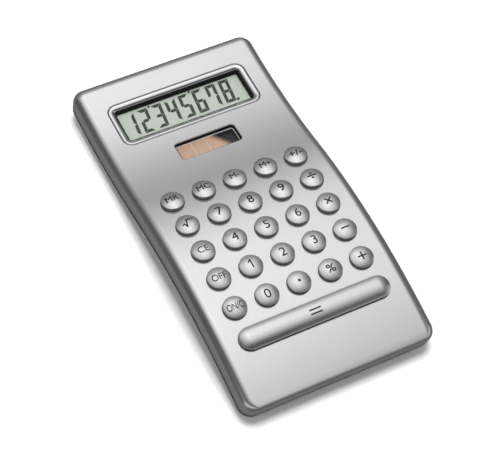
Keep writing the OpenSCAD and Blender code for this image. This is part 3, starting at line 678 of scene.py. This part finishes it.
def makeSolar():
    s = solar
    half = s["length"] / 2
    obj = startBlock("solarPlate", s["width"], -half, half, s["low"], s["top"])
    pick(obj, "EDGE", lambda a, b: True)
    bpy.ops.mesh.bevel(offset=s["edge"], segments=s["bends"], affect="EDGES")
    bpy.ops.object.mode_set(mode="OBJECT")
    standOn(obj, 0, s["mid"])
    smooth(obj)
    dress(obj, cellFilm, "case", "solar_film", "solar_cell")
    strips = []
    end, thick = half - s["lineEnd"], s["lineThick"]
    for x in s["lines"]:
        strip = startBlock("strip", s["lineWide"], -end, end, s["top"] - thick, s["top"] + thick)
        pick(strip, "EDGE", lambda a, b: a.z > s["top"] and b.z > s["top"])
        bpy.ops.mesh.bevel(offset=s["lineEdge"], segments=s["bends"], affect="EDGES")
        bpy.ops.object.mode_set(mode="OBJECT")
        strip.data.transform(Matrix.Translation((x, 0, 0)))
        strips.append(strip)
    lines = joined("solarLines", strips)
    standOn(lines, 0, s["mid"])
    dress(lines, cellLine, "case", "solar_film")
    h = solarHole
    size = (h["width"], h["from"], h["to"], h["corner"])
    # a black lining on the opening's wall: painted shade where the wall lies in shadow
    wallShade = ring("solarWallShade", *size, s["wallShade"])
    smooth(wallShade, 30)
    dress(wallShade, blackMaskAndShade, "case", "dark_well")
    line = ring("solarEdgeLine", *size, s["edgeLine"])
    smooth(line, 30)
    dress(line, paleLine, "case", "solar_film")


makeSolar()
print("solar cell made")

keyForm = {"radius": 3.42, "side": 0.95, "crown": 0.76, "barCrown": 0.92, "edge": 0.12, "flange": 4.1,
           "flangeTop": -1.75, "flangeLow": -2.45, "plunger": 1.5, "plungerLow": -2.9, "edgeBends": 5,
           "crownBends": 12, "plungerX": 16.0, "sides": 56, "barSides": 54, "postSides": 32, "postSunk": 0.3}


def capForm(crown):
    k = dict(keyForm, crown=crown, reach=keyForm["radius"] - keyForm["edge"])
    k["dome"] = (k["reach"] ** 2 + crown ** 2 - k["edge"] ** 2) / 2 / (crown - k["edge"])
    k["rimAngle"] = math.asin(k["reach"] / (k["dome"] - k["edge"]))
    return k


roundCap, barCap = capForm(keyForm["crown"]), capForm(keyForm["barCrown"])


def crownHeight(k, r):
    if r > k["dome"] * math.sin(k["rimAngle"]):
        return k["side"] + math.sqrt(max(0, k["edge"] ** 2 - (r - k["reach"]) ** 2))
    return k["side"] + k["crown"] - k["dome"] + math.sqrt(k["dome"] ** 2 - r ** 2)


def keyProfile(k, plunger, top):
    axis = front["axis"]
    points = [(axis, k["plungerLow"]), (k["plunger"], k["plungerLow"]), (k["plunger"], k["flangeLow"])]
    if not plunger:
        points = [(axis, k["flangeLow"])]
    points += [(k["flange"], k["flangeLow"]), (k["flange"], k["flangeTop"]), (k["radius"], k["flangeTop"])]
    for i in range(k["edgeBends"] + 1):
        q = (math.pi / 2 - k["rimAngle"]) * i / k["edgeBends"]
        points.append((k["reach"] + k["edge"] * math.cos(q), k["side"] + k["edge"] * math.sin(q)))
    for i in range(1, k["crownBends"] + 1):
        r = max(top, k["dome"] * math.sin(k["rimAngle"] * (1 - i / k["crownBends"])))
        points.append((r, crownHeight(k, r)))
    return points


def dressKey(obj, x, s, node):  # painted crown; the sides take a darker copy of the paint as painted shade
    sides = [p.center.z < keyForm["side"] for p in obj.data.polygons]
    standOn(obj, x, s)
    smooth(obj, 40)
    dress(obj, keyPaint, node, "silver_key", node)
    obj.data.materials.append(keySideShade)
    for polygon, dark in zip(obj.data.polygons, sides):
        polygon.material_index = 1 if dark else 0


def makeKeys():
    k = keyForm
    master = spun("keyMaster", keyProfile(roundCap, True, 0.0), k["sides"])
    for s, names in zip(rowPlaces, keyRows):
        for x, node in zip(columnPlaces, names):
            key = copyOf(master, node.replace("key_", "cap_"))
            dressKey(key, x, s, node)
    bpy.data.objects.remove(master)
    bar = stretched(spun("bar", keyProfile(barCap, False, front["axis"]), k["barSides"]), front["barHalf"])
    posts = [bar]
    r, low, top = k["plunger"], k["plungerLow"], k["flangeLow"] + k["postSunk"]
    for x in (-k["plungerX"], 0, k["plungerX"]):
        post = spun("post", [(0, low), (r, low), (r, top), (0, top)], k["postSides"])
        post.data.transform(Matrix.Translation((x, 0, 0)))
        posts.append(post)
    dressKey(joined("cap_equals", posts), 0, barPlace, "key_equals")


makeKeys()
print("keys made")

mat = {"half": 27.15, "first": 12.6, "last": 73.7, "low": -5.15, "top": -4.45, "domeRadius": 2.8, "topRadius": 1.8,
       "domeTop": -2.95, "wall": 0.6, "pill": 1.1, "pillLow": -4.2, "seat": 0.01, "keep": 0.3, "bendStep": 1.5,
       "past": 1.0, "sides": 32}


def makeMat():  # rubber sheet, with a dome under each key that gives way
    m = mat
    places = [(node[4:], x, s) for s, names in zip(rowPlaces, keyRows) for x, node in zip(columnPlaces, names)]
    places += [("equals", x, barPlace) for x in (-keyForm["plungerX"], 0, keyForm["plungerX"])]
    sheet = startBlock("matSheet", 2 * m["half"], m["first"], m["last"], m["low"], m["top"])
    hole, low, top = m["domeRadius"] - m["wall"], m["low"] - m["past"], m["top"] + m["past"]
    tools = []
    for _, x, s in places:
        tool = spun("tool", [(0, low), (hole, low), (hole, top), (0, top)], m["sides"])
        tool.data.transform(Matrix.Translation((x, s, 0)))
        tools.append(tool)
    cutAway(sheet, joined("tools", tools))
    slices(sheet, 1, steps(m["first"], m["last"], m["bendStep"])[1:-1])
    bendToWave(sheet)
    smooth(sheet)
    dress(sheet, matRubber, "case", "keypad_rubber", "keypad_mat")
    foot, inside = m["top"] + m["seat"], m["domeTop"] - m["wall"]
    master = spun("domeMaster", [(0, m["pillLow"]), (m["pill"], m["pillLow"]), (m["pill"], inside),
                                 (m["topRadius"] - m["wall"] / 2, inside), (hole, foot), (m["domeRadius"], foot),
                                 (m["topRadius"], m["domeTop"]), (0, m["domeTop"])], m["sides"])
    for i, (key, x, s) in enumerate(places):
        dome = copyOf(master, "dome_%d_%s" % (i + 1, key))
        standOn(dome, x, s)
        smooth(dome)
        dress(dome, matRubber, "case", "keypad_rubber")
        tuple(facePoint(x, s, foot))
        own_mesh(dome)
    bpy.data.objects.remove(master)


makeMat()
print("keypad mat made")

# what is printed on each key: its height and shift up the key in millimetres, its narrowing and its boldness
legends = {"key_mr": ("MR", 2.15, 0.3, 1.0, 0.045), "key_mc": ("MC", 2.15, 0.3, 1.0, 0.045),
           "key_m_minus": ("M-", 2.0, 0.3, 1.0, 0.045), "key_m_plus": ("M+", 2.0, 0.3, 1.0, 0.045),
           "key_sign": ("+/-", 2.5, 0.3, 1.1, 0.06), "key_7": ("7", 2.85, 0.15, 1.0, 0.05),
           "key_8": ("8", 2.85, 0.15, 1.0, 0.035), "key_9": ("9", 2.85, 0.15, 1.0, 0.035),
           "key_ce": ("CE", 2.05, 0.0, 1.05, 0.02), "key_4": ("4", 2.8, 0.15, 1.0, 0.035),
           "key_5": ("5", 2.8, 0.15, 1.0, 0.02), "key_6": ("6", 2.8, 0.15, 1.0, 0.02),
           "key_off": ("OFF", 2.1, 0.0, 0.9, 0.025), "key_2": ("2", 2.8, 0.1, 1.0, 0.02),
           "key_3": ("3", 2.8, 0.1, 1.0, 0.015), "key_on_c": ("ON/C", 2.2, 0.0, 0.64, 0.02),
           "key_0": ("0", 2.85, 0.0, 1.0, 0.01), "key_percent": ("%", 2.6, 0.05, 1.12, 0.05)}
# strokes of the marks that the lettering lacks, in millimetres on the key
strokes = {"key_root": [[(-1.5, -0.3), (-1.0, -0.05), (-0.5, -1.25), (0.0, 1.2), (1.65, 1.2)]],
           "key_1": [[(-0.5, 0.85), (0.2, 1.45), (0.2, -1.0)]],
           "key_divide": [[(-1.1, 0.25), (1.1, 0.25)], [(-0.1, 1.1), (0.1, 1.1)], [(-0.1, -0.6), (0.1, -0.6)]],
           "key_multiply": [[(-0.78, -0.6), (0.78, 0.9)], [(-0.78, 0.9), (0.78, -0.6)]],
           "key_minus": [[(-1.1, 0.1), (1.1, 0.1)]], "key_plus": [[(-1.1, 0.05), (1.1, 0.05)], [(0, -1.05), (0, 1.15)]],
           "key_point": [[(-0.01, 0.1), (0.01, 0.1)]],
           "key_equals": [[(-1.6, 0.65), (1.6, 0.65)], [(-1.6, -0.6), (1.6, -0.6)]]}
# width of these strokes, where it is not the usual
strokeWidths = {"key_equals": 0.45, "key_point": 0.75, "key_divide": 0.55, "key_root": 0.42, "key_1": 0.42}
ink = {"lift": 0.012, "thick": 0.04, "grid": 0.3, "strokeWide": 0.48, "blank": 0.5}


def strokeMark(node):  # bars of even width from corner to corner
    wide = strokeWidths.get(node, ink["strokeWide"])
    mark = None
    for a, b in [ends for line in strokes[node] for ends in zip(line, line[1:])]:
        way = Vector(b) - Vector(a)
        bar = startBlock("bar", way.length + wide, -wide / 2, wide / 2, -ink["blank"], ink["blank"])
        bar.data.transform(Matrix.Translation(((a[0] + b[0]) / 2, (a[1] + b[1]) / 2, 0))
                           @ Matrix.Rotation(math.atan2(way.y, way.x), 4, "Z"))
        if mark:
            apply(mark, "BOOLEAN", operation="UNION", solver="EXACT", object=bar)
            bpy.data.objects.remove(bar)
        mark = mark or bar
    hold(mark)
    return named("legend_" + node[4:])


def letterMark(node):
    words, tall, shift, narrow, bold = legends[node]
    clearPick()
    bpy.ops.object.text_add()
    text = bpy.context.object
    text.data.body = words
    text.data.size = tall
    text.data.extrude = ink["blank"]
    bpy.ops.object.convert(target="MESH")
    obj = named("legend_" + node[4:])
    pickAll(obj)
    bpy.ops.mesh.remove_doubles(threshold=craft["weld"])
    bpy.ops.mesh.select_all(action="SELECT")
    bpy.ops.mesh.normals_make_consistent(inside=False)
    bpy.ops.transform.shrink_fatten(value=bold, use_even_offset=True)
    bpy.ops.object.mode_set(mode="OBJECT")
    low = [min(v.co[i] for v in obj.data.vertices) for i in (0, 1)]
    high = [max(v.co[i] for v in obj.data.vertices) for i in (0, 1)]
    size = tall / (high[1] - low[1])
    obj.data.transform(Matrix.Translation((0, shift, 0)) @ Matrix.Diagonal((size * narrow, size, 1, 1))
                       @ Matrix.Translation((-(low[0] + high[0]) / 2, -(low[1] + high[1]) / 2, 0)))
    return obj


def printLegend(node, x, s):
    obj = strokeMark(node) if node in strokes else letterMark(node)
    for axis in (0, 1):
        places = [v.co[axis] for v in obj.data.vertices]
        slices(obj, axis, steps(min(places), max(places), ink["grid"])[1:-1])
    for v in obj.data.vertices:  # laid over the crown of the key
        r, cap = math.hypot(v.co.x, v.co.y), roundCap
        if node == "key_equals":
            r, cap = abs(v.co.y), barCap
        v.co.z = crownHeight(cap, r) + ink["lift"] - (0 if v.co.z > 0 else ink["thick"])
    standOn(obj, x, s)
    dress(obj, legendInk, node, "legend_ink")


for s, names in zip(rowPlaces, keyRows):
    for x, node in zip(columnPlaces, names):
        printLegend(node, x, s)
printLegend("key_equals", 0, barPlace)
print("legends printed")

# better finishes on the model's own inner pieces
inner = {"display_window": paneClear, "lcd_glass": panelGreen, "lcd_reflector": foilSilver, "lcd_foam_pad": darkFoam,
         "contact_rubber": stripedRubber, "circuit_board": boardMask, "potted_chip": chipResin,
         "solar_leads": wireJacket, "button_cell": cellSteel, "battery_contact_plus": springBrass,
         "battery_contact_minus": springBrass, "contact_film": filmPrint,
         "backing_plate": plateSteel, "case_screws": screwSteel, "board_screws": screwSteel, "rubber_feet": footRubber}
for node, material in inner.items():
    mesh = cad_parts[node].data
    mesh.materials.clear()
    mesh.materials.append(material)
print("inner pieces finished")

# the set: floor, tent of soft light for reflections, lamp, world and camera
studio = {"floorSize": 8.0, "floorGap": 0.00002, "floorTone": 0.85, "floorSeen": 1.16, "lightWay": (0.01, 0.0, 1.0),
          "lampFar": 1.4, "lampSize": 0.45, "lampPower": 12.5, "ambient": 0.4}
# brightness of the tent from left to right, from front to back, in a low band at the front and sides, and below
tent = {"radius": 1.6, "segments": 48, "rings": 24, "strength": 1.4, "horizon": 0.12,
        "across": [(-1.0, 0.0), (-0.8, 0.0), (-0.6, 0.04), (-0.35, 0.46), (-0.05, 0.78), (0.13, 0.98), (0.3, 0.8),
                   (0.47, 0.63), (0.65, 0.21), (0.8, 0.06), (1.0, 0.0)],
        "along": [(-1.0, 0.0), (-0.5, 0.0), (-0.1, 0.69), (0.2, 0.97), (0.5, 0.93), (0.6, 0.75), (0.68, 0.47),
                  (0.75, 0.3), (0.85, 0.26), (0.95, 0.12), (1.0, 0.08)],
        "below": [(-1.0, 0.1), (-0.5, 0.12), (-0.1, 0.04), (1.0, 0.04)],
        "bandAlong": [(-1.0, 0.4), (-0.3, 0.42), (-0.08, 0.32), (0.08, 0.0), (1.0, 0.0)],
        "bandUp": [(-1.0, 0.0), (-0.05, 0.0), (0.1, 1.0), (0.45, 1.0), (0.7, 0.0), (1.0, 0.0)],
        "belowFront": [(-1.0, 0.3), (-0.6, 0.5), (-0.2, 1.0), (1.0, 1.0)]}


def makeFloor():
    clearPick()
    bpy.ops.mesh.primitive_plane_add(size=studio["floorSize"], location=(0, 0, -studio["floorGap"]))
    floor = named("studioFloor")
    material, nodes, links = newFinish("floorPaper")
    shader = nodes["Principled BSDF"]
    shader.inputs["Specular IOR Level"].default_value = 0.0
    tooth = grainNoise(nodes, links, 900)
    links.new(spread(nodes, links, tooth.outputs["Fac"], 0.9, 1.0), shader.inputs["Roughness"])
    path = nodes.new("ShaderNodeLightPath")
    seen = nodes.new("ShaderNodeMath")
    seen.operation = "MAXIMUM"
    links.new(path.outputs["Is Camera Ray"], seen.inputs[0])
    links.new(path.outputs["Is Transmission Ray"], seen.inputs[1])
    paper = nodes.new("ShaderNodeMix")
    paper.data_type = "RGBA"
    paper.clamp_result = False
    paper.inputs["A"].default_value = (*[studio["floorTone"]] * 3, 1)
    paper.inputs["B"].default_value = (*[studio["floorSeen"]] * 3, 1)
    links.new(seen.outputs[0], paper.inputs["Factor"])
    links.new(paper.outputs["Result"], shader.inputs["Base Color"])
    floor.data.materials.append(material)
    floor.visible_glossy = False  # the tent is all that the metal mirrors


def fade(nodes, links, source, stops):  # brightness by a direction from -1 to 1
    scale = nodes.new("ShaderNodeMapRange")
    scale.inputs["From Min"].default_value = -1.0
    links.new(source, scale.inputs["Value"])
    ramp = toneRamp(nodes, links, scale.outputs["Result"], [((a + 1) / 2, (b, b, b)) for a, b in stops])
    return ramp.outputs["Color"]


def blend(nodes, links, how, first, second):
    mix = nodes.new("ShaderNodeMix")
    mix.data_type = "RGBA"
    mix.blend_type = how
    mix.inputs["Factor"].default_value = 1.0
    links.new(first, mix.inputs["A"])
    links.new(second, mix.inputs["B"])
    return mix.outputs["Result"]


def makeTent():
    clearPick()
    bpy.ops.mesh.primitive_uv_sphere_add(segments=tent["segments"], ring_count=tent["rings"], radius=tent["radius"])
    cloth = named("lightTent")
    pickAll(cloth)
    bpy.ops.mesh.flip_normals()
    bpy.ops.object.mode_set(mode="OBJECT")
    material, nodes, links = newFinish("tentCloth")
    nodes.remove(nodes["Principled BSDF"])
    place = nodes.new("ShaderNodeTexCoord")
    way = nodes.new("ShaderNodeVectorMath")
    way.operation = "NORMALIZE"
    links.new(place.outputs["Object"], way.inputs[0])
    parts = nodes.new("ShaderNodeSeparateXYZ")
    links.new(way.outputs["Vector"], parts.inputs["Vector"])
    upper = blend(nodes, links, "MULTIPLY", fade(nodes, links, parts.outputs["X"], tent["across"]),
                  fade(nodes, links, parts.outputs["Y"], tent["along"]))
    band = blend(nodes, links, "MULTIPLY", fade(nodes, links, parts.outputs["Y"], tent["bandAlong"]),
                 fade(nodes, links, parts.outputs["Z"], tent["bandUp"]))
    lower = blend(nodes, links, "MULTIPLY", fade(nodes, links, parts.outputs["Z"], tent["below"]),
                  fade(nodes, links, parts.outputs["Y"], tent["belowFront"]))
    above = nodes.new("ShaderNodeMapRange")
    above.interpolation_type = "SMOOTHSTEP"
    above.inputs["From Min"].default_value = -tent["horizon"]
    above.inputs["From Max"].default_value = tent["horizon"]
    links.new(parts.outputs["Z"], above.inputs["Value"])
    whole = nodes.new("ShaderNodeMix")
    whole.data_type = "RGBA"
    links.new(above.outputs["Result"], whole.inputs["Factor"])
    links.new(lower, whole.inputs["A"])
    links.new(blend(nodes, links, "LIGHTEN", upper, band), whole.inputs["B"])
    glow = nodes.new("ShaderNodeEmission")
    links.new(whole.outputs["Result"], glow.inputs["Color"])
    glow.inputs["Strength"].default_value = tent["strength"]
    links.new(glow.outputs["Emission"], nodes["Material Output"].inputs["Surface"])
    cloth.data.materials.append(material)
    cloth.visible_camera = False  # only seen in reflections
    cloth.visible_diffuse = False
    cloth.visible_shadow = False
    cloth.visible_transmission = False


def makeLamp():
    clearPick()
    way = Vector(studio["lightWay"]).normalized()
    bpy.ops.object.light_add(type="AREA", location=way * studio["lampFar"])
    lamp = named("softLamp")
    lamp.rotation_euler = way.to_track_quat("Z", "Y").to_euler()
    lamp.data.shape = "SQUARE"
    lamp.data.size = studio["lampSize"]
    lamp.data.energy = studio["lampPower"]
    lamp.visible_glossy = False  # the tent gives the reflections
    lamp.data.cycles.use_multiple_importance_sampling = False  # keeps sparks of the lamp out of the paint


def makeWorld():
    world = bpy.data.worlds.new("paleRoom")
    bpy.context.scene.world = world
    world.use_nodes = True
    nodes, links = world.node_tree.nodes, world.node_tree.links
    seen = nodes["Background"]
    seen.inputs["Color"].default_value = (1, 1, 1, 1)
    seen.inputs["Strength"].default_value = 1.0
    fill = nodes.new("ShaderNodeBackground")
    fill.inputs["Color"].default_value = (1, 1, 1, 1)
    fill.inputs["Strength"].default_value = studio["ambient"]
    path = nodes.new("ShaderNodeLightPath")
    one = nodes.new("ShaderNodeMath")
    one.operation = "MAXIMUM"
    two = nodes.new("ShaderNodeMath")
    two.operation = "MAXIMUM"
    links.new(path.outputs["Is Camera Ray"], one.inputs[0])
    links.new(path.outputs["Is Glossy Ray"], one.inputs[1])
    links.new(one.outputs[0], two.inputs[0])
    links.new(path.outputs["Is Transmission Ray"], two.inputs[1])
    mix = nodes.new("ShaderNodeMixShader")
    links.new(two.outputs[0], mix.inputs["Fac"])
    links.new(fill.outputs[0], mix.inputs[1])
    links.new(seen.outputs[0], mix.inputs[2])
    links.new(mix.outputs[0], nodes["World Output"].inputs["Surface"])


cameraPlace = {"location": (-0.149184, -0.24699, 0.41146), "right": (0.89277, -0.4475, 0.05195),
               "up": (0.34067, 0.74606, 0.57213), "back": (-0.29479, -0.49309, 0.81851), "lens": 127.7287,
               "sensor": 36.0, "clip": (0.01, 50.0)}


def makeCamera():
    c = cameraPlace
    clearPick()
    bpy.ops.object.camera_add()
    camera = named("photoCamera")
    turn = Matrix((c["right"], c["up"], c["back"])).transposed().to_4x4()
    camera.matrix_world = Matrix.Translation(c["location"]) @ turn
    camera.data.sensor_fit = "HORIZONTAL"
    camera.data.sensor_width = c["sensor"]
    camera.data.lens = c["lens"]
    camera.data.clip_start, camera.data.clip_end = c["clip"]
    bpy.context.scene.camera = camera


makeFloor()
makeTent()
makeLamp()
makeWorld()
makeCamera()
bpy.context.scene.view_settings.view_transform = "Standard"
print("studio set")
